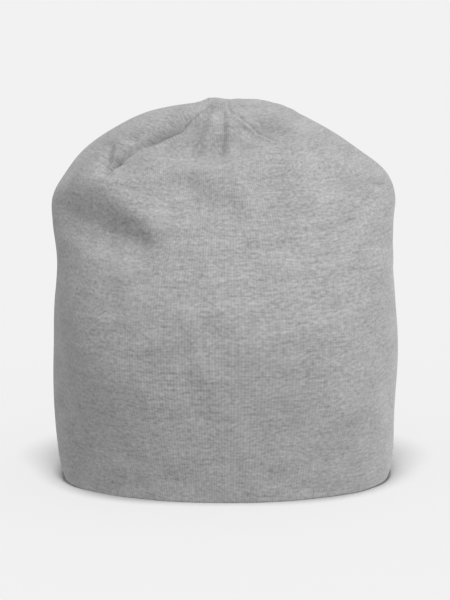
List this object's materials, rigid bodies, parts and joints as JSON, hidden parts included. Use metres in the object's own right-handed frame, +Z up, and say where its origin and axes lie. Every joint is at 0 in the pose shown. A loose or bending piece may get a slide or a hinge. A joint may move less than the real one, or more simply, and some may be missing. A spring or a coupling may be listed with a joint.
{
  "type": "jersey beanie",
  "caption": "Slouchy jersey beanie with a darted crown and a plain folded hem, standing upright on its open lower edge with a hollow inside for the head.",
  "frame": {"origin": "on the surface that the hem stands on, under the middle of the cap's outline from above", "axes": "+Z up towards the crown's point, front of the cap towards -Y, +X to the right as seen from the front"},
  "size_m": [0.1908, 0.1552, 0.2087],
  "materials": {
    "heather_jersey": "matte"
  },
  "bodies": {
    "root": {"jersey_shell": "heather_jersey"}
  },
  "joints": []
}
